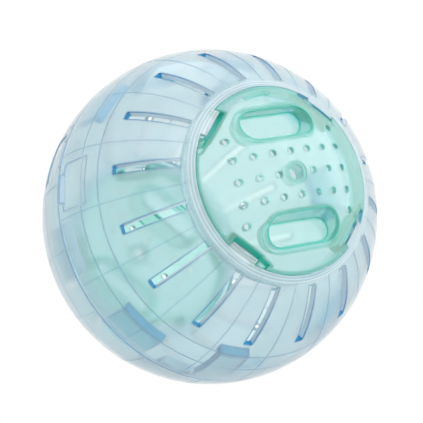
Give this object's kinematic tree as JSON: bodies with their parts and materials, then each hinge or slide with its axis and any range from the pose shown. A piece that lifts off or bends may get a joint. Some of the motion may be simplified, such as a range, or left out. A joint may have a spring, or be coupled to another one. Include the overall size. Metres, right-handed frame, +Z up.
{
  "type": "hamster ball",
  "caption": "Clear exercise ball for a hamster: half shells that plug together at the seam, air slots, and vented lift-off lids with finger pockets and a hub bore.",
  "frame": {"origin": "centre of the ball", "axes": "+Y runs along the pole axis from the front lid to the rear lid, so the front lid faces -Y; +Z is up across the front lid's two finger pockets; +X runs along the pockets and the rows of vent holes"},
  "size_m": [0.14, 0.1398, 0.14],
  "materials": {
    "shell_front": "clear pale blue moulded plastic, smooth and glossy",
    "shell_rear": "clear pale blue moulded plastic, smooth and glossy",
    "lid_front": "translucent mint green moulded plastic, smooth and glossy",
    "lid_rear": "translucent mint green moulded plastic, smooth and glossy"
  },
  "bodies": {
    "front_half": {"front_half": "shell_front"},
    "rear_half": {"rear_half": "shell_rear"},
    "front_lid": {"front_lid": "lid_front"},
    "rear_lid": {"rear_lid": "lid_rear"}
  },
  "joints": [
    {"name": "front_lid_lift", "type": "slide", "parent": "front_half", "child": "front_lid", "axis": [0, -1, 0], "range_m": [0, 0.04]},
    {"name": "rear_half_pull", "type": "slide", "parent": "front_half", "child": "rear_half", "axis": [0, 1, 0], "range_m": [0, 0.05]},
    {"name": "rear_lid_lift", "type": "slide", "parent": "rear_half", "child": "rear_lid", "axis": [0, 1, 0], "range_m": [0, 0.04]}
  ]
}
